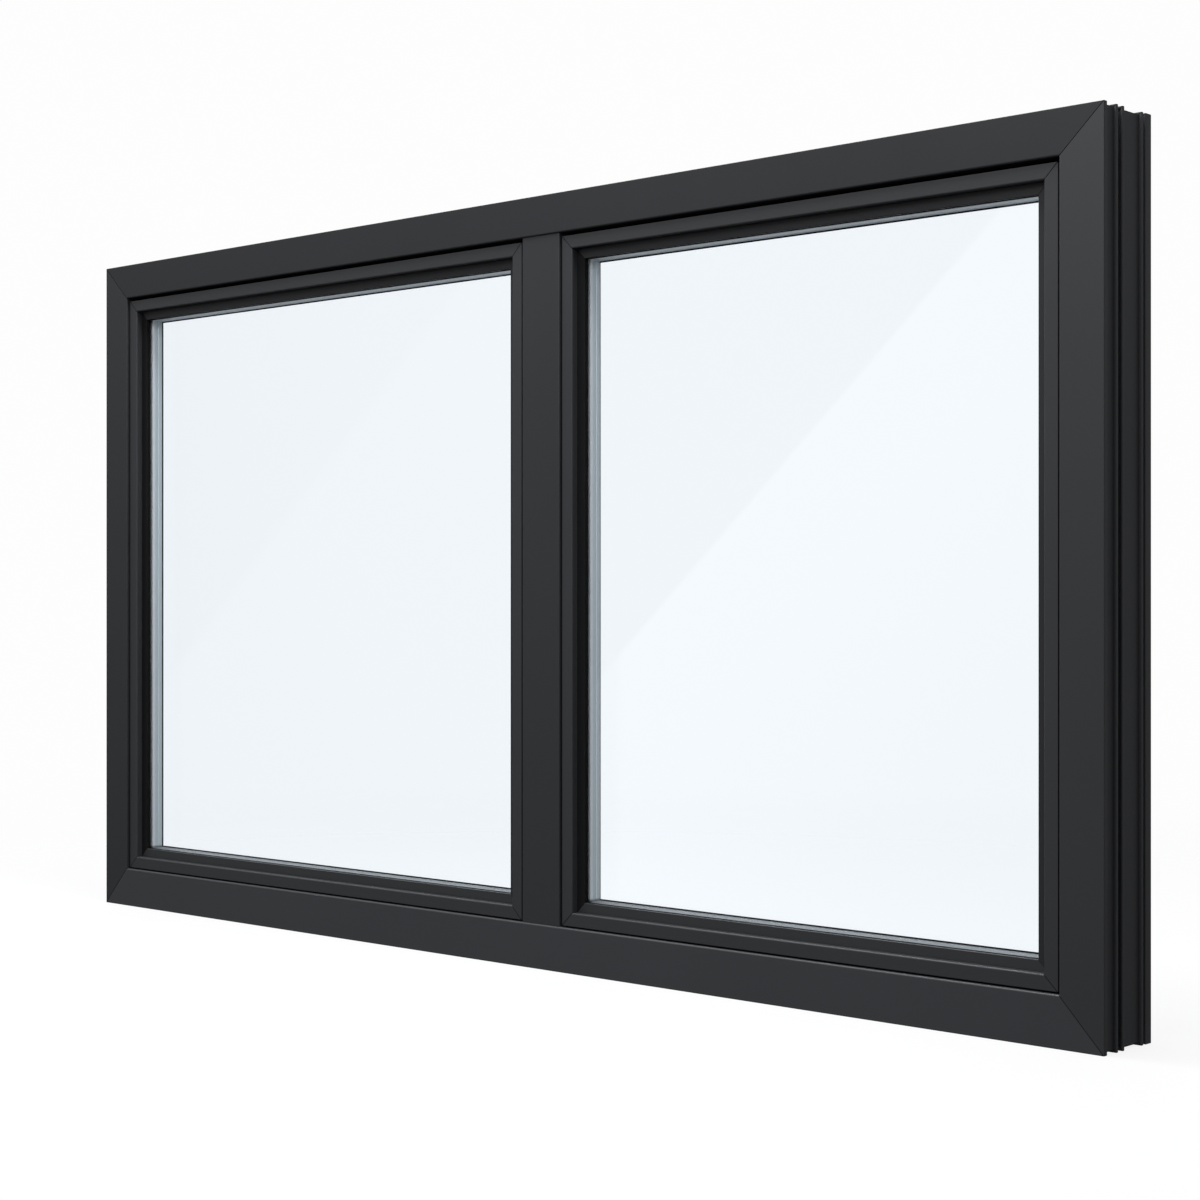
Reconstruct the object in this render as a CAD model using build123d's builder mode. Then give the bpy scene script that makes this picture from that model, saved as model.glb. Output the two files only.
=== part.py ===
"""Two-lite awning window: a mitred frame of ribbed aluminium, one mullion and two double-glazed sashes.

X runs along the width, Y from the weather side to the room side, Z up from the underside of the sill.
Sections are drawn flat: x runs inward from the outer edge of the ring they belong to, and y runs back
from the weather face of the frame.
"""

import os

from build123d import *

# Overall sizes, in millimetres
window_width = 1600.0
window_height = 900.0
frame_depth = 89.0
mullion_offset = 59.0  # middle of the mullion, to the right of the window's middle

# Metal
wall = 2.0
edge_radius = 0.7
sight_radius = 2.0  # softer inner edges of the frame and sash faces, which catch the light
mitre_gap = 0.6

# Frame extrusions: one section with a face of its own on the head, the sill and the jambs
head_face = 46.5
sill_face = 52.0
jamb_face = 49.0
room_face = 14.0  # the room side is narrow, and the step behind the stop takes an insect screen
rib_height = 2.5
front_rib = 6.0  # width of the rib behind the weather face
middle_rib_start = 22.5
middle_rib_end = 38.0
groove_mouth = 8.0  # undercut groove in the middle rib
groove_depth = 6.0
thin_rib = 4.0
slot_width = 4.0
back_rib = 11.0
stop_reach = 7.0  # leg that the sash closes against
stop_thickness = 3.0

# Mullion
mullion_width = 60.0
mullion_setback = 1.5

# Sash extrusion
head_gap = 4.2  # shadow gaps round the sash
sill_gap = 1.8
side_gap = 2.8
sash_setback = 3.5
sash_face = 15.8
sash_return = 9.0  # step from the sash face back to the bead
sash_tube = 12.5
leg_thickness = 3.0
leg_drop = 9.4  # how far the leg behind the glass stops short of the bead

# Glazing bead, glass and seals
bead_face = 11.6
bead_thickness = 3.0
bead_foot = 2.0
bead_slack = 0.2
gasket_lip = 0.6
weather_gasket_width = 9.0
room_gasket_width = 5.0
front_gasket = 3.0
back_gasket = 2.0
pane_thickness = 4.0
cavity = 16.0
glass_bite = 13.8  # how far the glass reaches under the bead
spacer_width = 6.5
spacer_sight = 0.8  # how far the spacer shows past the bead
closing_seal = 3.0
seal_width = 3.6

# Handle on the room side of each sash
handle_base_length = 66.0
handle_base_width = 11.8
handle_base_height = 8.0
handle_pivot = 11.0  # diameter of the turning boss
handle_neck = 4.0
handle_arm = 7.0  # thickness of the lever where it leaves the boss
handle_tip = 4.5
handle_width = 10.0
handle_reach = 92.0
handle_rise = 5.0  # how far the lever's tip stands off from its root
handle_bevel = 1.4

# Places that follow from these sizes
front = -frame_depth / 2
bead_front = sash_setback + sash_return
bead_back = bead_front + bead_thickness
glass_front = bead_back + front_gasket
glass_back = glass_front + 2 * pane_thickness + cavity
leg_front = glass_back + back_gasket
sash_back = leg_front + leg_thickness
stop_front = sash_back + closing_seal
stop_back = stop_front + stop_thickness
sash_reach = sash_face + bead_face
leg_reach = sash_reach - leg_drop
opening_top = window_height - head_face
opening_left = jamb_face - window_width / 2
opening_right = window_width / 2 - jamb_face
sash_top = opening_top - head_gap
sash_foot = sill_face + sill_gap
mullion_left = mullion_offset - mullion_width / 2
mullion_right = mullion_offset + mullion_width / 2

# A ring is the outer outline of four bars: middle in X, middle in Z, width, height
frame_ring = (0.0, window_height / 2, window_width, window_height)
frame_faces = {"top": head_face, "bottom": sill_face, "left": jamb_face, "right": jamb_face}
inward = {
    "left": Vector(1, 0, 0),
    "right": Vector(-1, 0, 0),
    "top": Vector(0, 0, -1),
    "bottom": Vector(0, 0, 1),
}
neighbours = {
    "left": ("top", "bottom"),
    "right": ("bottom", "top"),
    "top": ("right", "left"),
    "bottom": ("left", "right"),
}
equal_faces = dict.fromkeys(inward, 1.0)
backward = Vector(0, 1, 0)
pieces = {}


def inset(ring, distance):
    """The ring that lies this far inside another one."""
    middle_x, middle_z, width, height = ring
    return (middle_x, middle_z, width - 2 * distance, height - 2 * distance)


def flat_plane(ring, depth):
    """Plane through a ring's middle, this far behind the weather face and facing the room."""
    middle_x, middle_z, _, _ = ring
    return Plane((middle_x, front + depth, middle_z), x_dir=(1, 0, 0), z_dir=backward)


def mitred_bar(section, ring, side, faces):
    """One side of a ring: its section run along the side and cut at each end from outer to inner corner.

    Where the faces of two sides are equal, the cut between them is at 45 degrees.
    """
    middle_x, middle_z, width, height = ring
    upright = side in ("left", "right")
    length = height if upright else width
    reach = (width if upright else height) / 2
    middle = Vector(middle_x, front, middle_z) - inward[side] * reach
    across = Plane(middle, x_dir=inward[side], z_dir=inward[side].cross(backward))
    with BuildPart() as bar:
        with BuildSketch(across):
            add(section)
        extrude(amount=length / 2, both=True)
        for end, neighbour in zip((1, -1), neighbours[side]):
            corner = middle + across.z_dir * end * (length - mitre_gap) / 2
            slant = across.x_dir * faces[neighbour] + across.z_dir * end * faces[side]
            mitre = Plane(corner, z_dir=slant)
            split(bisect_by=mitre, keep=Keep.BOTTOM)
    return bar.part


def flat_ring(ring, width, depth, thickness):
    """A flat band inside a ring."""
    _, _, outer_width, outer_height = ring
    with BuildPart() as band:
        with BuildSketch(flat_plane(ring, depth)):
            Rectangle(outer_width, outer_height)
            Rectangle(outer_width - 2 * width, outer_height - 2 * width, mode=Mode.SUBTRACT)
        extrude(amount=thickness)
    return band.part


def pane(ring, depth):
    """A sheet of glass that fills a ring."""
    _, _, width, height = ring
    with BuildPart() as sheet:
        with BuildSketch(flat_plane(ring, depth)):
            Rectangle(width, height)
        extrude(amount=pane_thickness)
    return sheet.part


# Frame section: ribs on the outside, an undercut groove, a narrow slot, the stop leg and the screen step
groove_start = (middle_rib_start + middle_rib_end - groove_mouth) / 2
groove_end = groove_start + groove_mouth
back_rib_start = frame_depth - back_rib
slot_start = back_rib_start - slot_width
thin_rib_start = slot_start - thin_rib
chamber_outer = rib_height + wall
groove_back = groove_depth + wall
web_front = middle_rib_end + wall / 2
web_back = web_front + wall


def frame_section(face):
    """Section of a frame bar with this face, hollowed into two chambers."""
    chamber_inner = face - wall
    with BuildSketch() as section:
        with BuildLine():
            Polyline(
                (0, 0),
                (face, 0),
                (face, stop_front),
                (face + stop_reach, stop_front),
                (face + stop_reach, stop_back),
                (room_face, stop_back),
                (room_face, frame_depth),
                (0, frame_depth),
                (0, back_rib_start),
                (groove_depth, back_rib_start),
                (groove_depth, slot_start),
                (0, slot_start),
                (0, thin_rib_start),
                (rib_height, thin_rib_start),
                (rib_height, middle_rib_end),
                (0, middle_rib_end),
                (0, groove_end),
                (wall, groove_end),
                (wall, middle_rib_end - wall),
                (groove_depth, middle_rib_end - wall),
                (groove_depth, middle_rib_start + wall),
                (wall, middle_rib_start + wall),
                (wall, groove_start),
                (0, groove_start),
                (0, middle_rib_start),
                (rib_height, middle_rib_start),
                (rib_height, front_rib),
                (0, front_rib),
                close=True,
            )
        make_face()
        corners = section.vertices()
        rib_corners = corners.group_by(Axis.X)[0]
        stop_corners = corners.group_by(Axis.X)[-1]
        room_corner = corners.group_by(Axis.Y)[-1].sort_by(Axis.X)[-1]
        fillet(rib_corners + stop_corners + [room_corner], edge_radius)
        fillet(section.vertices().group_by(Axis.Y)[0].sort_by(Axis.X)[-1], sight_radius)
        with BuildLine():
            Polyline(
                (chamber_outer, wall),
                (chamber_inner, wall),
                (chamber_inner, web_front),
                (groove_back, web_front),
                (groove_back, middle_rib_start),
                (chamber_outer, middle_rib_start),
                close=True,
            )
        make_face(mode=Mode.SUBTRACT)
        with BuildLine():
            Polyline(
                (chamber_outer, web_back),
                (chamber_inner, web_back),
                (chamber_inner, stop_front),
                (room_face - wall, stop_front),
                (room_face - wall, frame_depth - wall),
                (groove_back, frame_depth - wall),
                (groove_back, slot_start - wall),
                (chamber_outer, slot_start - wall),
                close=True,
            )
        make_face(mode=Mode.SUBTRACT)
    return section.sketch


frame_names = {
    "top": "frame_head",
    "bottom": "frame_sill",
    "left": "frame_left_jamb",
    "right": "frame_right_jamb",
}
for side, name in frame_names.items():
    section = frame_section(frame_faces[side])
    pieces[name] = mitred_bar(section, frame_ring, side, frame_faces)

# Mullion: set back from the frame face, its ends stepped to fit against the head and the sill
half_width = mullion_width / 2
seat_gap = mitre_gap / 2
mullion_foot = room_face + seat_gap
mullion_top = window_height - room_face - seat_gap
foot_plane = Plane((mullion_offset, front, mullion_foot), x_dir=(1, 0, 0), z_dir=(0, 0, 1))
with BuildPart() as mullion:
    with BuildSketch(foot_plane) as outline:
        with BuildLine():
            Polyline(
                (0, mullion_setback),
                (half_width, mullion_setback),
                (half_width, stop_front),
                (half_width + stop_reach, stop_front),
                (half_width + stop_reach, stop_back),
                (room_face, stop_back),
                (room_face, frame_depth),
                (0, frame_depth),
                close=True,
            )
        make_face()
        corners = outline.vertices()
        room_corner = corners.group_by(Axis.Y)[-1].sort_by(Axis.X)[-1]
        fillet(corners.group_by(Axis.X)[-1] + [room_corner], edge_radius)
        fillet(outline.vertices().group_by(Axis.Y)[0].sort_by(Axis.X)[-1], sight_radius)
        with BuildLine():
            Polyline(
                (0, mullion_setback + wall),
                (half_width - wall, mullion_setback + wall),
                (half_width - wall, stop_front),
                (room_face - wall, stop_front),
                (room_face - wall, frame_depth - wall),
                (0, frame_depth - wall),
                close=True,
            )
        make_face(mode=Mode.SUBTRACT)
        mirror(about=Plane.YZ)
    extrude(amount=mullion_top - mullion_foot)
    for seat, face, up in ((0, sill_face, 1), (window_height, head_face, -1)):
        with BuildSketch(Plane((mullion_offset, front, seat), x_dir=(0, 1, 0), z_dir=(up, 0, 0))):
            with BuildLine():
                Polyline(
                    (0, 0),
                    (stop_back + seat_gap, 0),
                    (stop_back + seat_gap, face + stop_reach + seat_gap),
                    (stop_front - seat_gap, face + stop_reach + seat_gap),
                    (stop_front - seat_gap, face + seat_gap),
                    (0, face + seat_gap),
                    close=True,
                )
            make_face()
        extrude(amount=mullion_width, both=True, mode=Mode.SUBTRACT)
pieces["mullion"] = mullion.part

# Sash section: tube, wide face with a return towards the bead, and the leg behind the glass
pocket_front = bead_back + bead_slack
with BuildSketch() as sash_section:
    with BuildLine():
        Polyline(
            (0, sash_setback),
            (sash_face, sash_setback),
            (sash_face, pocket_front),
            (sash_tube, pocket_front),
            (sash_tube, leg_front),
            (leg_reach, leg_front),
            (leg_reach, sash_back),
            (0, sash_back),
            close=True,
        )
    make_face()
    corners = sash_section.vertices()
    outer_corners = corners.group_by(Axis.X)[0]
    leg_corner = corners.group_by(Axis.Y)[-1].sort_by(Axis.X)[-1]
    fillet(outer_corners + [leg_corner], edge_radius)
    fillet(sash_section.vertices().group_by(Axis.Y)[0].sort_by(Axis.X)[-1], sight_radius)
    with BuildLine():
        Polyline(
            (wall, sash_setback + wall),
            (sash_face - wall, sash_setback + wall),
            (sash_face - wall, pocket_front - wall),
            (sash_tube - wall, pocket_front - wall),
            (sash_tube - wall, sash_back - wall),
            (wall, sash_back - wall),
            close=True,
        )
    make_face(mode=Mode.SUBTRACT)

# Bead section: the inner ring in front of the glass, with a foot behind the lip of the sash
foot_front = pocket_front + bead_slack
foot_back = foot_front + bead_foot
heel = sash_face + bead_slack
with BuildSketch() as bead_section:
    with BuildLine():
        Polyline(
            (heel, bead_front),
            (sash_reach, bead_front),
            (sash_reach, bead_back),
            (heel + wall, bead_back),
            (heel + wall, foot_back),
            (sash_tube + bead_slack, foot_back),
            (sash_tube + bead_slack, foot_front),
            (heel, foot_front),
            close=True,
        )
    make_face()
    fillet(bead_section.vertices().group_by(Axis.Y)[0].sort_by(Axis.X)[-1], edge_radius)

bar_names = {"top": "top_rail", "bottom": "bottom_rail", "left": "left_stile", "right": "right_stile"}
openings = {"left": (opening_left, mullion_left), "right": (mullion_right, opening_right)}
for lite, (start, end) in openings.items():
    sash_middle = (start + end) / 2
    sash_ring = (sash_middle, (sash_foot + sash_top) / 2, end - start - 2 * side_gap, sash_top - sash_foot)
    for side, name in bar_names.items():
        pieces[f"{lite}_sash_{name}"] = mitred_bar(sash_section.sketch, sash_ring, side, equal_faces)
        pieces[f"{lite}_{side}_glazing_bead"] = mitred_bar(bead_section.sketch, sash_ring, side, equal_faces)

    # Double glazing: two panes held apart by a spacer
    glass_ring = inset(sash_ring, sash_reach - glass_bite)
    pieces[f"{lite}_outer_pane"] = pane(glass_ring, glass_front)
    pieces[f"{lite}_inner_pane"] = pane(glass_ring, glass_back - pane_thickness)
    cavity_front = glass_front + pane_thickness
    spacer_ring = inset(sash_ring, sash_reach + spacer_sight - spacer_width)
    pieces[f"{lite}_glass_spacer"] = flat_ring(spacer_ring, spacer_width, cavity_front, cavity)

    # Rubber: a gasket on each side of the glass and a seal between the sash and the stop legs
    weather_ring = inset(sash_ring, sash_reach + gasket_lip - weather_gasket_width)
    pieces[f"{lite}_weather_gasket"] = flat_ring(weather_ring, weather_gasket_width, bead_back, front_gasket)
    room_ring = inset(sash_ring, leg_reach + gasket_lip - room_gasket_width)
    pieces[f"{lite}_room_gasket"] = flat_ring(room_ring, room_gasket_width, glass_back, back_gasket)
    pieces[f"{lite}_closing_seal"] = flat_ring(sash_ring, seal_width, sash_back, closing_seal)

    # Handle in the middle of the bottom rail, on the part of the rail that the stop leg leaves bare
    bare_start = sill_face + stop_reach
    bare_end = sash_foot + leg_reach
    handle_spot = (sash_middle, front + sash_back, (bare_start + bare_end) / 2)
    base_plane = Plane(handle_spot, x_dir=(1, 0, 0), z_dir=backward)
    with BuildPart() as handle_base:
        with BuildSketch(base_plane):
            SlotOverall(handle_base_length, handle_base_width)
        extrude(amount=handle_base_height)
        chamfer(handle_base.edges().group_by(Axis.Y)[-1], handle_bevel)
    pieces[f"{lite}_handle_base"] = handle_base.part

    # Lever: an arm that bows away from the sash and thins towards its tip, on a round boss
    boss_plane = base_plane.offset(handle_base_height)
    arm_plane = Plane(boss_plane.offset(handle_neck).origin, x_dir=(1, 0, 0), z_dir=(0, 0, 1))
    root = handle_pivot / 2
    with BuildPart() as handle_lever:
        with BuildSketch(arm_plane):
            with BuildLine():
                inner = TangentArc((root, 0), (handle_reach, handle_rise), tangent=(1, 0))
                tip = (handle_reach, handle_rise + handle_tip)
                outer = TangentArc((root, handle_arm), tip, tangent=(1, 0))
                Line(inner @ 1, outer @ 1)
                Polyline(outer @ 0, (-root, handle_arm), (-root, 0), inner @ 0)
            make_face()
        extrude(amount=handle_width / 2, both=True)
        chamfer(handle_lever.edges(), handle_bevel)
        with BuildSketch(boss_plane):
            Circle(root)
        extrude(amount=handle_neck + handle_bevel)
    pieces[f"{lite}_handle_lever"] = handle_lever.part

os.makedirs("parts", exist_ok=True)
for name, piece in pieces.items():
    piece.label = name
    export_step(piece, f"parts/{name}.step")
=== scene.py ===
"""Looks of the two-lite awning window.

Powder-coated bars, double glazing, rubber seals and room-side handles.
Metres, in the window's own frame: X along the width, Y from the weather side to the room side, Z up.
"""

import math

import bpy
import numpy as np
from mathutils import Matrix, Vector


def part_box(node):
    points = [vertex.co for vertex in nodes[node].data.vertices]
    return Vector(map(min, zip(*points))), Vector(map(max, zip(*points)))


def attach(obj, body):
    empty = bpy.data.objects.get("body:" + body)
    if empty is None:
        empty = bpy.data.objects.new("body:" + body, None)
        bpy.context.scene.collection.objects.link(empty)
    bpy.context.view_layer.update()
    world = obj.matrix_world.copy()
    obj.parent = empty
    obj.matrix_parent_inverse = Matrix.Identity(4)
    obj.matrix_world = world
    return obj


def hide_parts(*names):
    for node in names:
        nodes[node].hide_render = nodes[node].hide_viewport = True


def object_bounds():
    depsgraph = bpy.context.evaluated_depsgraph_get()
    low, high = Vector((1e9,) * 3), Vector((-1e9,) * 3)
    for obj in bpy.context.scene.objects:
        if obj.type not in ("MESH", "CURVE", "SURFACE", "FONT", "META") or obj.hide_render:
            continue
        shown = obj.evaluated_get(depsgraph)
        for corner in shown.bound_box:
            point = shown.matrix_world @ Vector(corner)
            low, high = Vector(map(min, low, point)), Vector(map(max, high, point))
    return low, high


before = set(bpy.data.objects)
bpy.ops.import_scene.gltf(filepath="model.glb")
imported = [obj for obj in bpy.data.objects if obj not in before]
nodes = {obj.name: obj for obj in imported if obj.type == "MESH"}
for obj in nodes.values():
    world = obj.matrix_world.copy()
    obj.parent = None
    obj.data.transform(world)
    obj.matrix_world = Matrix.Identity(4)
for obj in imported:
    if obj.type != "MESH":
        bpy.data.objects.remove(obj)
cad_low, cad_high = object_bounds()
LITES = ("left", "right")

# Sections of the pieces that stand for plain solids
SPACER_WIDTH = 0.0065
SPACER_SHOULDER = 0.0009
SPACER_SLOPE = 0.0038
SPACER_GROOVE = 0.0035
SPACER_GROOVE_DEPTH = 0.0003
BUTYL_PROUD = 0.0003
BUTYL_PROUD_LEVEL = 0.0016  # along the top and the bottom
WEATHER_GASKET_WIDTH = 0.009
ROOM_GASKET_WIDTH = 0.005
GASKET_NOSE = 0.0011
SEAL_WIDTH = 0.0036
SEAL_FOOT = 0.0010
ARC_STEPS = 9
CREASE = 35.0  # degrees, past which an edge stays sharp
POLE_WELD = 1e-6

# Faces of the frame's bars, which set the slant of its mitres
HEAD_FACE = 0.0465
SILL_FACE = 0.052
JAMB_FACE = 0.049
MITRE_LINE = 0.0003
MITRE_FADE = 0.0010

# Handle
LEVER_LENGTH_STEPS = 60
LEVER_ROUND_STEPS = 48
LEVER_SQUARENESS = 3.4
LEVER_END_SQUARENESS = 7.0
LEVER_ARM = 0.007
LEVER_TIP = 0.0045
LEVER_WIDTH = 0.010
LEVER_TIP_WIDTH = 0.0088
LEVER_NECK = 0.004
BOSS_SHARE = 0.92
BASE_EDGE = 0.0022
BASE_STEPS = 40

# Camera, fitted to the corners of the frame in a 1200 by 1200 picture
PICTURE_SIDE = 1200
FOCAL_PIXELS = 2258.0
SENSOR_WIDTH = 36.0
CAMERA_PLACE = (1.8921, -1.9263, 0.4295)
CAMERA_TURN = 42.713

# Powder coats: dark and light tone, linear, then roughness and shine
COATS = {
    "frame_coat": ((0.0205, 0.0214, 0.0238), (0.0252, 0.0263, 0.0290), 0.46, 0.28),
    # The head, left jamb and mullion coats are darker copies and the sill coat a lighter copy of the frame
    # coat: painted shade and painted light for how the light falls on each bar
    "head_coat": ((0.0140, 0.0147, 0.0166), (0.0176, 0.0184, 0.0206), 0.46, 0.20),
    "left_jamb_coat": ((0.0160, 0.0168, 0.0189), (0.0198, 0.0207, 0.0231), 0.46, 0.25),
    "sill_coat": ((0.0275, 0.0287, 0.0319), (0.0338, 0.0352, 0.0388), 0.46, 0.28),
    "mullion_coat": ((0.0170, 0.0178, 0.0199), (0.0209, 0.0219, 0.0242), 0.46, 0.28),
    "sash_coat": ((0.0205, 0.0214, 0.0238), (0.0252, 0.0263, 0.0290), 0.46, 0.28),
    # The bead coat is a darker copy of the sash coat, painted shade of the recess behind the sash's face;
    # the bottom beads' coat is close to the sash coat
    "bead_coat": ((0.0140, 0.0145, 0.0158), (0.0175, 0.0181, 0.0196), 0.50, 0.20),
    # Darker still on the left beads: painted shadow of the sash's stile
    "painted_shade_bead_coat": ((0.0050, 0.0052, 0.0058), (0.0068, 0.0070, 0.0077), 0.60, 0.10),
    "low_bead_coat": ((0.0200, 0.0208, 0.0228), (0.0247, 0.0256, 0.0280), 0.50, 0.28),
    "handle_coat": ((0.0120, 0.0122, 0.0130), (0.0165, 0.0168, 0.0178), 0.38, 0.40),
}
COAT_CLOUDS = 0.16
COAT_GRAIN = 0.0011
COAT_PEEL = 0.0022
COAT_CLOUD_SHARE = 0.7
COAT_ROUGHNESS_DROP = 0.05
COAT_ROUGHNESS_CLOUDS = 0.07
COAT_ROUGHNESS_GRAIN = 0.05
PEEL_STRENGTH = 0.10
PEEL_HEIGHT = 0.0002
MITRE_TONE = (0.004, 0.004, 0.0044)
MITRE_ROUGHNESS = 0.5

# Rubber
RUBBER = (0.0020, 0.0020, 0.0021)
RUBBER_LIGHT = (0.0038, 0.0038, 0.0040)
RUBBER_BLOOM = 0.012
RUBBER_GRAIN = 0.0006
RUBBER_ROUGHNESS = 0.62
RUBBER_ROUGHNESS_BLOOM = 0.16
RUBBER_SHINE = 0.10
RUBBER_BUMP = 0.15

# Spacer metal, with a painted highlight along its front edge, and darker along the bottom run
SPACER_METAL = (0.72, 0.79, 0.83)
SPACER_LIGHT = (0.79, 0.87, 0.91)
SPACER_PAINTED_HIGHLIGHT = (0.93, 0.97, 0.99)
SPACER_LOW_RUN_TONE = (0.200, 0.214, 0.226)
SPACER_STREAKS = 0.0035
SPACER_CLOUDS = 0.09
SPACER_CLOUD_SHARE = 0.6
SPACER_HIGHLIGHT_BAND = (0.0022, 0.0034)  # depths between which the painted highlight fades
SPACER_LOW_RUN_FADE = 0.004
SPACER_METALLIC = 0.40
SPACER_ROUGHNESS = 0.42
SPACER_ROUGHNESS_STREAKS = 0.12
SPACER_BUMP = 0.08
FINE_HEIGHT = 0.0001  # height of the grain on rubber and metal

# Glass
GLASS_TINT = (0.9778, 0.9900, 1.0)
GLASS_MIRROR = 0.009
GLASS_SLANT_POWER = 5
GLASS_WAVES = 0.35
GLASS_WAVE_STRENGTH = 0.02
GLASS_WAVE_HEIGHT = 0.0005

# Floor and backdrop
BACKDROP = (0.985, 0.985, 0.985)
FLOOR = (0.06, 0.06, 0.06)
FLOOR_LIGHT = (0.065, 0.065, 0.065)
FLOOR_GLOW = 0.86
FLOOR_CLOUDS = 0.8
FLOOR_ROUGHNESS = 0.85
FLOOR_ROUGHNESS_CLOUDS = 0.1
FLOOR_SHINE = 0.1
FLOOR_FADE = (1.0, 2.6)
FLOOR_RADIUS = 5.0
FLOOR_RINGS = 24
FLOOR_SPOKES = 96

# Studio light: directions in the dome, each with its strength and sharpness
DOME_TINT = (0.97, 0.985, 1.0)
DOME_LEAST = 0.005
DOME_SIDES = (
    ((-0.7, -0.1, 0.7), 1.9, 6),
    ((-0.7, -0.7, -0.4), 0.15, 4),
    ((0.2, -1.0, 0.1), 0.9, 10),
    ((0.7, -0.7, 0.1), 0.8, 10),
    ((0.9, 0.4, 0.1), 0.17, 6),
    ((0.2, 0.98, 0.05), 0.35, 8),
    ((-0.7, 0.7, -0.1), 0.9, 4),
    ((-0.3, 0.75, 0.6), 0.7, 4),
    ((0.0, 0.0, 1.0), 0.5, 2),
)
# Bright cards that the glass mirrors: two picture points on a card's upper edge, and its strength there
CARD_EDGES = {
    "left": ((445, 300), (215, 610), 0.3),
    "right": ((940, 275), (640, 625), 1.3),
}
CARD_SPLIT = 558  # picture column between the two cards
CARD_MIDDLE = (-0.70, -0.72, 0.0)
CARD_REACH = (0.90, 0.94)
CARD_SOFTNESS = 0.003
CARD_FADE = 0.24
# Soft panels: place, target, size and power
PANELS = {
    "key_panel": ((0.5, -1.75, 2.05), (0.1, 0.0, 0.7), (1.6, 1.1), 29.0),
    "strip_panel": ((0.0, -0.25, 1.9), (0.0, 0.0, 0.4), (2.4, 0.4), 52.0),
}


class Shade:
    """A socket of a finish's node tree: sums of these add Math nodes, and node() adds any other node."""

    def __init__(self, tree, socket=None):
        self.tree = tree
        self.socket = socket

    def node(self, kind, settings=None, sockets=None, output=0):
        """Adds a node of this kind: its settings first, then its sockets' values and links."""
        made = self.tree.nodes.new(kind)
        for name, value in (settings or {}).items():
            setattr(made, name, value)
        for name, value in (sockets or {}).items():
            if isinstance(value, Shade):
                self.tree.links.new(value.socket, made.inputs[name])
            else:
                made.inputs[name].default_value = value
        return Shade(self.tree, made.outputs[output] if made.outputs else None)

    def math(self, operation, first, second=0.0):
        """One Math node on two values."""
        return self.node("ShaderNodeMath", {"operation": operation}, {0: first, 1: second})

    def __add__(self, other):
        return self.math("ADD", self, other)

    def __radd__(self, other):
        return self.math("ADD", other, self)

    def __sub__(self, other):
        return self.math("SUBTRACT", self, other)

    def __rsub__(self, other):
        return self.math("SUBTRACT", other, self)

    def __mul__(self, other):
        return self.math("MULTIPLY", self, other)

    def __rmul__(self, other):
        return self.math("MULTIPLY", other, self)

    def __pow__(self, other):
        return self.math("POWER", self, other)

    def place(self):
        """Place on the surface, in the window's own frame."""
        return self.node("ShaderNodeTexCoord", output="Object")

    def along(self, axis):
        """Place on the surface along one axis."""
        return self.node("ShaderNodeSeparateXYZ", None, {0: self.place()}, axis)

    def noise(self, size, detail=2.0, roughness=0.5):
        """Even noise from 0 to 1 whose patches are about this many metres across."""
        sockets = {"Vector": self.place(), "Scale": 1 / size, "Detail": detail, "Roughness": roughness}
        return self.node("ShaderNodeTexNoise", sockets=sockets)

    def step(self, value, low, high):
        """0 below low, 1 above high and a smooth rise between them."""
        sockets = {"Value": value, "From Min": low, "From Max": high}
        return self.node("ShaderNodeMapRange", {"interpolation_type": "SMOOTHSTEP"}, sockets)

    def blend(self, share, first, second):
        """One colour where share is 0 and another where it is 1."""
        start = first if isinstance(first, Shade) else (*first, 1.0)
        sockets = {0: share, 6: start, 7: (*second, 1.0)}
        return self.node("ShaderNodeMix", {"data_type": "RGBA"}, sockets, 2)

    def facing(self, axis):
        """Cosine of the angle between this direction and an axis."""
        sockets = {0: self, 1: tuple(Vector(axis).normalized())}
        return self.node("ShaderNodeVectorMath", {"operation": "DOT_PRODUCT"}, sockets, "Value")

    def bump(self, height, strength, distance):
        """Normal of a surface with this height over it."""
        sockets = {"Strength": strength, "Distance": distance, "Height": height}
        return self.node("ShaderNodeBump", sockets=sockets)


def new_finish(name):
    """An empty finish and the start of its node tree."""
    finish = bpy.data.materials.new(name)
    finish.use_nodes = True
    finish.node_tree.nodes.clear()
    return finish, Shade(finish.node_tree)


def close_finish(shade, surface):
    """Joins a shader to the finish's output."""
    shade.node("ShaderNodeOutputMaterial", None, {"Surface": surface})


def mitre_line(shade, low, high, slopes=(1.0, 1.0)):
    """1 on the hairlines where the bars of a ring's box meet, 0 a little way off them.

    A point lies u in from the nearer upright edge and v in from a level one. On a mitre v is slope * u.
    """
    x, z = shade.along("X"), shade.along("Z")
    u = (high[0] - low[0]) / 2 - shade.math("ABSOLUTE", x - (low[0] + high[0]) / 2)
    top = shade.math("ABSOLUTE", high[2] - z - slopes[0] * u)
    foot = shade.math("ABSOLUTE", z - low[2] - slopes[1] * u)
    return 1 - shade.step(shade.math("MINIMUM", top, foot), MITRE_LINE, MITRE_FADE)


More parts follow.
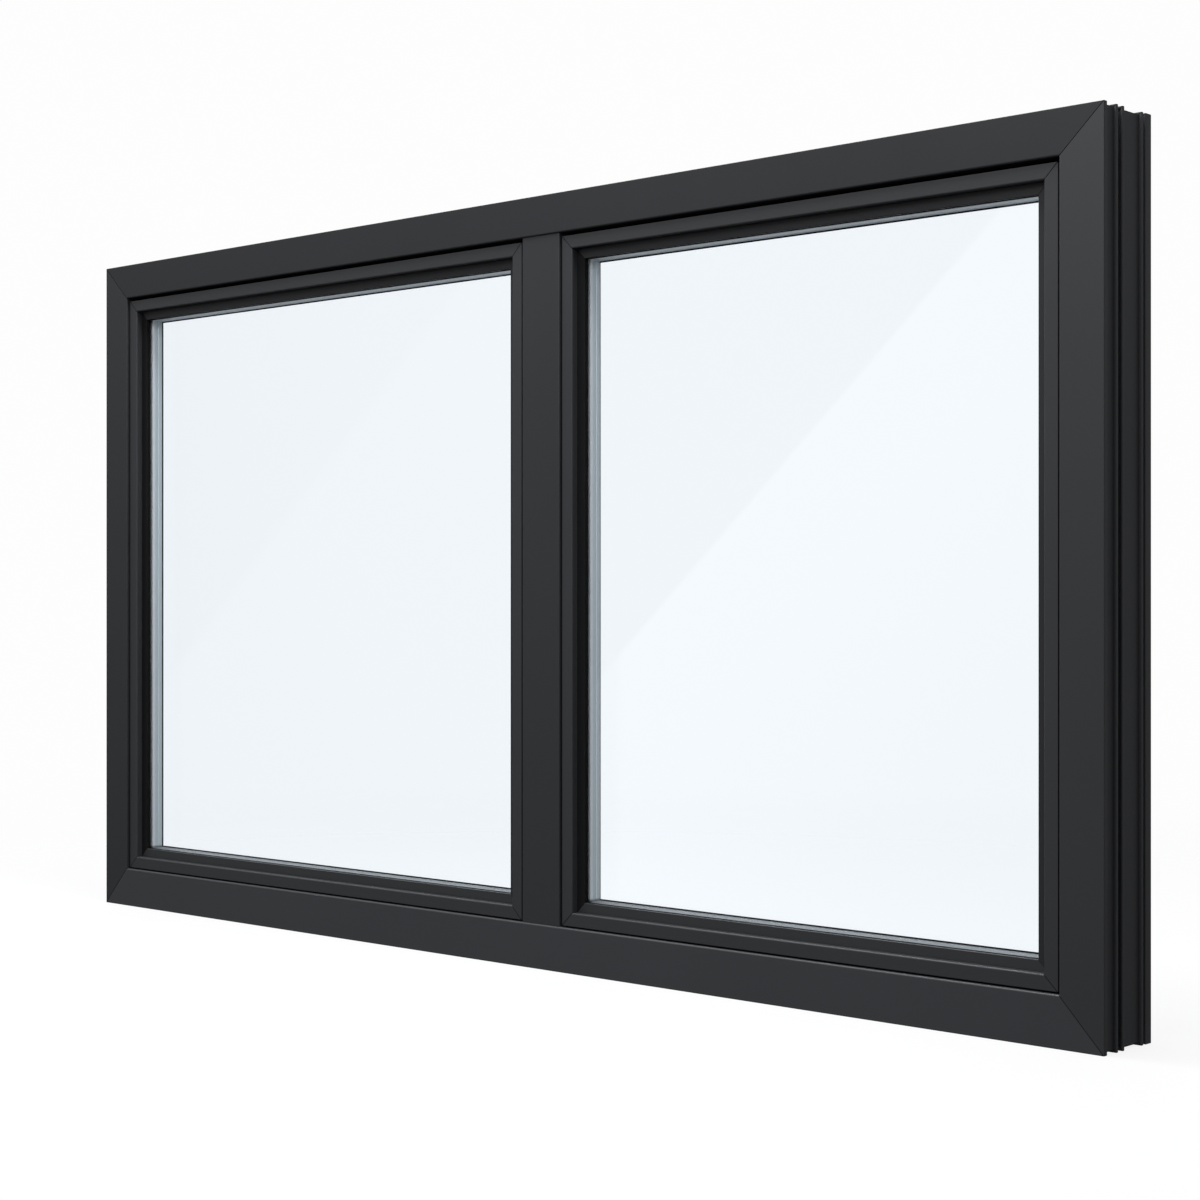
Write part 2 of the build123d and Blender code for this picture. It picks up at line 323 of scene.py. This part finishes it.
def powder_coat(name, dark, light, roughness, shine, ring=None):
    """Satin powder coat: an orange-peel skin with faint clouds of tone and sheen, dark at the mitres."""
    finish, shade = new_finish(name)
    clouds = shade.noise(COAT_CLOUDS, 3.0)
    grain = shade.noise(COAT_GRAIN)
    peel = shade.noise(COAT_PEEL)
    colour = shade.blend(clouds * COAT_CLOUD_SHARE + grain * (1 - COAT_CLOUD_SHARE), dark, light)
    dull = roughness - COAT_ROUGHNESS_DROP + clouds * COAT_ROUGHNESS_CLOUDS + grain * COAT_ROUGHNESS_GRAIN
    if ring:
        line = mitre_line(shade, *ring)
        colour = shade.blend(line, colour, MITRE_TONE)
        dull = dull + line * MITRE_ROUGHNESS
    surface = shade.node("ShaderNodeBsdfPrincipled", None, {
        "Base Color": colour,
        "Roughness": dull,
        "Specular IOR Level": shine,
        "Normal": shade.bump(peel, PEEL_STRENGTH, PEEL_HEIGHT),
    })
    close_finish(shade, surface)
    return finish


def rubber_skin(name):
    """Matt black rubber with a dusty bloom."""
    finish, shade = new_finish(name)
    bloom = shade.noise(RUBBER_BLOOM, 4.0, 0.6)
    grain = shade.noise(RUBBER_GRAIN)
    surface = shade.node("ShaderNodeBsdfPrincipled", None, {
        "Base Color": shade.blend(bloom, RUBBER, RUBBER_LIGHT),
        "Roughness": RUBBER_ROUGHNESS + bloom * RUBBER_ROUGHNESS_BLOOM,
        "Specular IOR Level": RUBBER_SHINE,
        "Normal": shade.bump(grain, RUBBER_BUMP, FINE_HEIGHT),
    })
    close_finish(shade, surface)
    return finish


def spacer_skin(name):
    """Mill aluminium with soft streaks, a painted highlight at its front edge, and darker along the bottom
    run.
    """
    finish, shade = new_finish(name)
    streaks = shade.noise(SPACER_STREAKS, 3.0)
    clouds = shade.noise(SPACER_CLOUDS)
    tone = clouds * SPACER_CLOUD_SHARE + streaks * (1 - SPACER_CLOUD_SHARE)
    metal = shade.blend(tone, SPACER_METAL, SPACER_LIGHT)
    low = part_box("left_glass_spacer")[0]
    band_start, band_end = SPACER_HIGHLIGHT_BAND
    # Painted highlight: the metal is lighter in a band at the spacer's front edge
    edge = 1 - shade.step(shade.along("Y"), low[1] + band_start, low[1] + band_end)
    # Darker along the spacer's bottom run
    run_top = low[2] + SPACER_WIDTH
    low_run = 1 - shade.step(shade.along("Z"), run_top, run_top + SPACER_LOW_RUN_FADE)
    surface = shade.node("ShaderNodeBsdfPrincipled", None, {
        "Base Color": shade.blend(low_run, shade.blend(edge, metal, SPACER_PAINTED_HIGHLIGHT), SPACER_LOW_RUN_TONE),
        "Metallic": SPACER_METALLIC,
        "Roughness": SPACER_ROUGHNESS + streaks * SPACER_ROUGHNESS_STREAKS,
        "Normal": shade.bump(streaks, SPACER_BUMP, FINE_HEIGHT),
    })
    close_finish(shade, surface)
    return finish


def clear_glass(name):
    """Float glass: what lies behind shows through a faint tint, under a mirror that grows at low angles."""
    finish, shade = new_finish(name)
    waves = shade.noise(GLASS_WAVES, 1.0)
    normal = shade.bump(waves, GLASS_WAVE_STRENGTH, GLASS_WAVE_HEIGHT)
    through = shade.node("ShaderNodeBsdfTransparent", None, {"Color": (*GLASS_TINT, 1.0)})
    mirror = shade.node("ShaderNodeBsdfGlossy", None, {"Roughness": 0.0, "Normal": normal})
    slant = shade.node("ShaderNodeLayerWeight", None, {"Blend": 0.5}, "Facing")
    share = GLASS_MIRROR + (1 - GLASS_MIRROR) * slant ** GLASS_SLANT_POWER
    surface = shade.node("ShaderNodeMixShader", None, {0: share, 1: through, 2: mirror})
    close_finish(shade, surface)
    return finish


def floor_skin(name):
    """Pale matt floor that fades away a few metres from the window."""
    finish, shade = new_finish(name)
    clouds = shade.noise(FLOOR_CLOUDS, 3.0)
    matt = shade.node("ShaderNodeBsdfPrincipled", None, {
        "Base Color": shade.blend(clouds, FLOOR, FLOOR_LIGHT),
        "Roughness": FLOOR_ROUGHNESS + clouds * FLOOR_ROUGHNESS_CLOUDS,
        "Specular IOR Level": FLOOR_SHINE,
        "Emission Color": (1.0, 1.0, 1.0, 1.0),
        "Emission Strength": FLOOR_GLOW,
    })
    gone = shade.node("ShaderNodeBsdfTransparent")
    away = shade.node("ShaderNodeVectorMath", {"operation": "LENGTH"}, {0: shade.place()}, "Value")
    surface = shade.node("ShaderNodeMixShader", None, {0: shade.step(away, *FLOOR_FADE), 1: matt, 2: gone})
    close_finish(shade, surface)
    return finish


def grid_faces(rows, columns, wrap_rows, wrap_columns):
    """Quads of a grid of points, joined end to start where it wraps."""
    row = np.arange(rows if wrap_rows else rows - 1)
    column = np.arange(columns if wrap_columns else columns - 1)
    u, v = np.meshgrid(row, column, indexing="ij")
    next_u = (u + 1) % rows
    next_v = (v + 1) % columns
    corners = [u * columns + v, u * columns + next_v, next_u * columns + next_v, next_u * columns + v]
    return np.stack(corners, axis=-1).reshape(-1, 4)


def signed_volume(points, faces):
    """Volume that quads close: the sum of the pyramids over the origin, negative if they face inwards."""
    a, b, c, d = (points[faces[:, k]] for k in range(4))
    first = np.einsum("ij,ij->i", a, np.cross(b, c))
    second = np.einsum("ij,ij->i", a, np.cross(c, d))
    return (first + second).sum() / 6


def make_piece(name, shells, finish):
    """One piece from closed grids of points, with its faces outwards and its steep edges sharp."""
    points, faces, start = [], [], 0
    for grid, wraps in shells:
        flat = grid.reshape(-1, 3)
        quads = grid_faces(*grid.shape[:2], *wraps)
        if signed_volume(flat - flat.mean(0), quads) < 0:
            quads = quads[:, ::-1]
        points.append(flat)
        faces.append(quads + start)
        start += len(flat)
    mesh = bpy.data.meshes.new(name)
    mesh.from_pydata(np.concatenate(points), [], np.concatenate(faces).tolist())
    mesh.polygons.foreach_set("use_smooth", np.ones(len(mesh.polygons), bool))
    mesh.update()
    mesh.set_sharp_from_angle(angle=math.radians(CREASE))
    mesh.materials.append(finish)
    piece = bpy.data.objects.new(name, mesh)
    bpy.context.scene.collection.objects.link(piece)
    return piece


def arc(middle, radius, start, end):
    """Points on a circle's arc, from one angle to another in degrees."""
    angle = np.radians(np.linspace(start, end, ARC_STEPS))
    return np.stack([middle[0] + radius * np.cos(angle), middle[1] + radius * np.sin(angle)], axis=-1)


def carried_round(section, low, high, level=None):
    """A closed section carried round the rectangle of a ring's box, mitred at its corners.

    A section's first number runs inward from the outer edge and its second from the front to the back.
    The level runs may have a section of their own, with the same depths.
    """
    level = section if level is None else level
    corner_x = np.array([low[0], high[0], high[0], low[0]])
    corner_z = np.array([low[2], low[2], high[2], high[2]])
    inward_x = np.array([1, -1, -1, 1])
    inward_z = np.array([1, 1, -1, -1])
    x = corner_x[:, None] + inward_x[:, None] * section[None, :, 0]
    z = corner_z[:, None] + inward_z[:, None] * level[None, :, 0]
    y = np.broadcast_to(low[1] + section[None, :, 1], x.shape)
    return np.stack([x, y, z], axis=-1)


def spacer_section(top, depth):
    """Folded bar between the panes: a sloped front edge, a back shoulder and a shallow groove."""
    foot = top - SPACER_SHOULDER
    middle = depth / 2
    half = SPACER_GROOVE / 2
    ease = SPACER_GROOVE_DEPTH
    return np.array([
        (0, 0), (foot, 0), (top, SPACER_SLOPE),
        (top, middle - half), (top - ease, middle - half + ease),
        (top - ease, middle + half - ease), (top, middle + half),
        (top, depth - SPACER_SHOULDER), (foot, depth), (0, depth),
    ])


def butyl_section(top, depth, proud):
    """Bead of sealant that fills the spacer's back shoulder and stands proud of it at the pane."""
    foot = top - SPACER_SHOULDER
    edge = top + proud
    return np.array([
        (top, depth - SPACER_SHOULDER), (edge, depth - BUTYL_PROUD), (edge, depth), (foot, depth),
    ])


def gasket_section(width, depth):
    """Rubber strip whose inner edge is a soft nose, pressed against the glass at its thick side."""
    nose = min(GASKET_NOSE, depth / 2)
    front = arc((width - nose, nose), nose, -90, 0)
    back = arc((width - nose, depth - nose), nose, 0, 90)
    return np.concatenate([[(0, 0)], front, back, [(0, depth)]])


def seal_section(width, depth):
    """Bulb of a closing seal: a half round on a flat foot."""
    bulb = depth - SEAL_FOOT
    angle = np.radians(np.linspace(0, 180, 2 * ARC_STEPS))
    across = width / 2 * (1 + np.cos(angle))
    up = SEAL_FOOT + bulb * np.sin(angle)
    return np.concatenate([[(0, 0), (width, 0)], np.stack([across, up], axis=-1)])


def ring_piece(node, name, section_of, width, finish):
    """A ring that stands for a node's plain band of this width, with a section of its own."""
    low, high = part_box(node)
    section = section_of(width, high[1] - low[1])
    piece = make_piece(name, [(carried_round(section, low, high), (True, True))], finish)
    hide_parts(node)
    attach(piece, "root")


def butyl_seal(lite, finish):
    """The bead of sealant between one spacer and its inner pane."""
    low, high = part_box(f"{lite}_glass_spacer")
    depth = high[1] - low[1]
    upright = butyl_section(SPACER_WIDTH, depth, BUTYL_PROUD)
    level = butyl_section(SPACER_WIDTH, depth, BUTYL_PROUD_LEVEL)
    ring = carried_round(upright, low, high, level)
    piece = make_piece(f"{lite}_butyl_seal", [(ring, (True, True))], finish)
    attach(piece, "root")


def rounded_slot(low, high):
    """Handle base: a slot-shaped outline drawn in by a quarter round as it rises to its top.

    The outline is a half circle, a straight run, a half circle and a run back. Its half width shrinks by
    edge * (1 - cos a) while the height goes up by edge * sin a over the last quarter turn.
    """
    middle_x = (low[0] + high[0]) / 2
    middle_z = (low[2] + high[2]) / 2
    radius = (high[2] - low[2]) / 2
    run = (high[0] - low[0]) / 2 - radius
    angle = np.linspace(0, 2 * np.pi, 2 * BASE_STEPS, endpoint=False) + np.pi / (2 * BASE_STEPS)
    turn = np.radians(np.linspace(0, 90, ARC_STEPS))
    shrink = np.concatenate([[radius], [0], BASE_EDGE * (1 - np.cos(turn)), [radius]])
    height = high[1] - low[1]
    up = np.concatenate([[0, 0], height - BASE_EDGE + BASE_EDGE * np.sin(turn), [height]])
    reach = (radius - shrink)[:, None]
    keep = np.where(reach > 0, 1.0, 0.0)
    x = middle_x + np.sign(np.cos(angle))[None, :] * run * keep + reach * np.cos(angle)[None, :]
    z = middle_z + reach * np.sin(angle)[None, :]
    y = np.broadcast_to((low[1] + up)[:, None], x.shape)
    return np.stack([x, y, z], axis=-1)


def boss_turn(middle_x, middle_z, radius, low_y, high_y):
    """Turning boss under the lever: a circle swept up, its top edge drawn in by a quarter round."""
    turn = np.radians(np.linspace(0, 90, ARC_STEPS))
    edge = BASE_EDGE / 2
    radii = np.concatenate([[0], [radius], radius - edge * (1 - np.cos(turn)), [0]])
    up = np.concatenate([[low_y, low_y], high_y - edge + edge * np.sin(turn), [high_y]])
    angle = np.linspace(0, 2 * np.pi, LEVER_ROUND_STEPS, endpoint=False)
    x = middle_x + radii[:, None] * np.cos(angle)[None, :]
    z = middle_z + radii[:, None] * np.sin(angle)[None, :]
    return np.stack([x, np.broadcast_to(up[:, None], x.shape), z], axis=-1)


def lever_sweep(low, high, arm_low):
    """Lever: a squarish oval carried along a bow that lifts away from the sash, thinning to its tip.

    Along the arm s goes from -1 to 1, and the oval's size is (1 - |s|^m)^(1/m), which rounds both ends off.
    Round it, each point lies at sign(cos a) |cos a|^(2/p) and sign(sin a) |sin a|^(2/p) of the half sizes.
    """
    middle_z = (low[2] + high[2]) / 2
    along = np.sin(np.linspace(-np.pi / 2, np.pi / 2, LEVER_LENGTH_STEPS))
    share = (along + 1) / 2
    closing = (1 - np.abs(along) ** LEVER_END_SQUARENESS) ** (1 / LEVER_END_SQUARENESS)
    thick = (LEVER_ARM + (LEVER_TIP - LEVER_ARM) * share) / 2
    wide = (LEVER_WIDTH + (LEVER_TIP_WIDTH - LEVER_WIDTH) * share) / 2
    rise = high[1] - LEVER_TIP / 2 - arm_low - LEVER_ARM / 2
    bow = arm_low + LEVER_ARM / 2 + rise * share ** 2
    angle = np.linspace(0, 2 * np.pi, LEVER_ROUND_STEPS, endpoint=False)
    power = 2 / LEVER_SQUARENESS
    across = np.sign(np.cos(angle)) * np.abs(np.cos(angle)) ** power
    over = np.sign(np.sin(angle)) * np.abs(np.sin(angle)) ** power
    x = np.broadcast_to((low[0] + (high[0] - low[0]) * share)[:, None], (len(along), len(angle)))
    y = bow[:, None] + (thick * closing)[:, None] * over[None, :]
    z = middle_z + (wide * closing)[:, None] * across[None, :]
    return np.stack([x, y, z], axis=-1)


def close_poles(piece):
    """Merges the points of each end that has shrunk to a point."""
    weld = piece.modifiers.new("poles", "WELD")
    weld.merge_threshold = POLE_WELD


def handle(lite, finish):
    """Base and lever of one handle, in place of their plain solids."""
    base_low, base_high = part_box(f"{lite}_handle_base")
    low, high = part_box(f"{lite}_handle_lever")
    boss_radius = (base_low[0] + base_high[0]) / 2 - low[0]
    arm_low = low[1] + LEVER_NECK
    boss_middle = (low[0] + boss_radius, (low[2] + high[2]) / 2)
    slot = rounded_slot(base_low, base_high)
    base = make_piece(f"{lite}_handle_base_cover", [(slot, (False, True))], finish)
    boss = boss_turn(*boss_middle, boss_radius * BOSS_SHARE, low[1], arm_low + LEVER_ARM / 2)
    arm = lever_sweep(low, high, arm_low)
    grip = [(boss, (False, True)), (arm, (False, True))]
    lever = make_piece(f"{lite}_handle_lever_grip", grip, finish)
    for piece, node in ((base, f"{lite}_handle_base"), (lever, f"{lite}_handle_lever")):
        close_poles(piece)
        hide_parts(node)
        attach(piece, "root")


def dress(word, finish):
    """Gives a finish to every shown node with this word in its name."""
    for name, node in nodes.items():
        if word in name and not node.hide_render:
            node.data.materials.clear()
            node.data.materials.append(finish)


def pale_floor(finish):
    """Round floor under the window: rings of points at even steps of the radius."""
    radius = np.linspace(0, FLOOR_RADIUS, FLOOR_RINGS)[:, None]
    angle = np.linspace(0, 2 * np.pi, FLOOR_SPOKES, endpoint=False)[None, :]
    x = radius * np.cos(angle)
    y = radius * np.sin(angle)
    points = np.stack([x, y, np.zeros_like(x)], axis=-1).reshape(-1, 3)
    mesh = bpy.data.meshes.new("pale_floor")
    mesh.from_pydata(points, [], grid_faces(FLOOR_RINGS, FLOOR_SPOKES, False, True).tolist())
    mesh.materials.append(finish)
    floor = bpy.data.objects.new("pale_floor", mesh)
    bpy.context.scene.collection.objects.link(floor)
    floor.visible_diffuse = False
    floor.visible_glossy = False


def soft_light(name, place, target, size, power):
    """A rectangular soft light that points at a target."""
    data = bpy.data.lights.new(name, "AREA")
    data.shape = "RECTANGLE"
    data.size, data.size_y = size
    data.energy = power
    light = bpy.data.objects.new(name, data)
    away = Vector(place) - Vector(target)
    light.location = place
    light.rotation_euler = away.to_track_quat("Z", "Y").to_euler()
    bpy.context.scene.collection.objects.link(light)


def mirrored_ray(column, row):
    """Direction of the camera's ray through a picture point once the glass has turned it back in Y."""
    turn = math.radians(CAMERA_TURN)
    middle = PICTURE_SIDE / 2
    across = (column - middle) / FOCAL_PIXELS
    up = (middle - row) / FOCAL_PIXELS
    x = across * math.cos(turn) - math.sin(turn)
    y = across * math.sin(turn) + math.cos(turn)
    return Vector((x, -y, up))


def card_light(shade, way):
    """Level of the bright cards in a direction: full at a card's slanting upper edge, fading below it."""
    near = shade.step(way.facing(CARD_MIDDLE), *CARD_REACH)
    upright = Vector((0, 0, 1)).cross(mirrored_ray(CARD_SPLIT, PICTURE_SIDE / 2))
    split = shade.step(way.facing(upright), -CARD_SOFTNESS, CARD_SOFTNESS)
    level = 0.0
    for side, share in (("left", 1 - split), ("right", split)):
        first, second, strength = CARD_EDGES[side]
        below = way.facing(mirrored_ray(*first).cross(mirrored_ray(*second)))
        card = shade.step(below, 0.0, CARD_SOFTNESS) * (1 - shade.step(below, 0.0, CARD_FADE))
        level = level + strength * card * share * near
    return level


def studio_dome():
    """White backdrop for the eye, and a dark room whose soft bright sides and cards light the window."""
    world = bpy.data.worlds.new("studio_dome")
    world.use_nodes = True
    world.node_tree.nodes.clear()
    shade = Shade(world.node_tree)
    way = shade.node("ShaderNodeTexCoord", output="Generated")
    level = DOME_LEAST
    for toward, strength, sharpness in DOME_SIDES:
        level = level + strength * shade.math("MAXIMUM", way.facing(toward), 0.0) ** sharpness
    level = level + card_light(shade, way)
    dome = shade.node("ShaderNodeBackground", None, {"Color": (*DOME_TINT, 1.0), "Strength": level})
    backdrop = shade.node("ShaderNodeBackground", None, {"Color": (*BACKDROP, 1.0), "Strength": 1.0})
    seen = shade.node("ShaderNodeLightPath", output="Is Camera Ray")
    surface = shade.node("ShaderNodeMixShader", None, {0: seen, 1: dome, 2: backdrop})
    shade.node("ShaderNodeOutputWorld", None, {"Surface": surface})
    bpy.context.scene.world = world


def photo_camera():
    """Level camera at the photograph's view."""
    data = bpy.data.cameras.new("photo_view")
    data.sensor_width = SENSOR_WIDTH
    data.lens = FOCAL_PIXELS / PICTURE_SIDE * SENSOR_WIDTH
    camera = bpy.data.objects.new("photo_view", data)
    camera.location = CAMERA_PLACE
    camera.rotation_euler = (math.radians(90), 0, math.radians(CAMERA_TURN))
    bpy.context.scene.collection.objects.link(camera)
    bpy.context.scene.camera = camera


rubber = rubber_skin("black_rubber")
metal = spacer_skin("mill_aluminium")
handle_finish = powder_coat("handle_coat", *COATS["handle_coat"])
for lite in LITES:
    spacer, seal = f"{lite}_glass_spacer", f"{lite}_closing_seal"
    ring_piece(spacer, f"{lite}_spacer_bar", spacer_section, SPACER_WIDTH, metal)
    butyl_seal(lite, rubber)
    for side, width in (("weather", WEATHER_GASKET_WIDTH), ("room", ROOM_GASKET_WIDTH)):
        node = f"{lite}_{side}_gasket"
        ring_piece(node, f"{node}_lip", gasket_section, width, rubber)
    ring_piece(seal, f"{seal}_bulb", seal_section, SEAL_WIDTH, rubber)
    handle(lite, handle_finish)

# Later words take over the nodes that they share with earlier ones
frame_ring = (cad_low, cad_high, (HEAD_FACE / JAMB_FACE, SILL_FACE / JAMB_FACE))
# The head, left jamb and mullion get darker copies of the coat and the sill a lighter one: painted shade
# and painted light
for word in ("frame", "head", "left_jamb", "sill"):
    coat = f"{word}_coat"
    dress(word, powder_coat(coat, *COATS[coat], frame_ring))
dress("mullion", powder_coat("mullion_coat", *COATS["mullion_coat"]))
for lite in LITES:
    sash_ring = (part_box(f"{lite}_sash_bottom_rail")[0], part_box(f"{lite}_sash_top_rail")[1])
    dress(f"{lite}_sash", powder_coat(f"{lite}_sash_coat", *COATS["sash_coat"], sash_ring))
# The beads' coats carry painted shade: a darker copy of the sash coat in the recess, with the bottom beads'
# coat close to the sash coat
bead_coats = {
    "bead": "bead_coat",
    # Left beads: painted shadow of the sash's stile
    "left_glazing_bead": "painted_shade_bead_coat",
    "bottom_glazing_bead": "low_bead_coat",
}
for word, coat in bead_coats.items():
    dress(word, powder_coat(coat, *COATS[coat]))
dress("pane", clear_glass("float_glass"))

pale_floor(floor_skin("floor_paint"))
studio_dome()
for name, (place, target, size, power) in PANELS.items():
    soft_light(name, place, target, size, power)
photo_camera()
bpy.context.scene.view_settings.view_transform = "Standard"
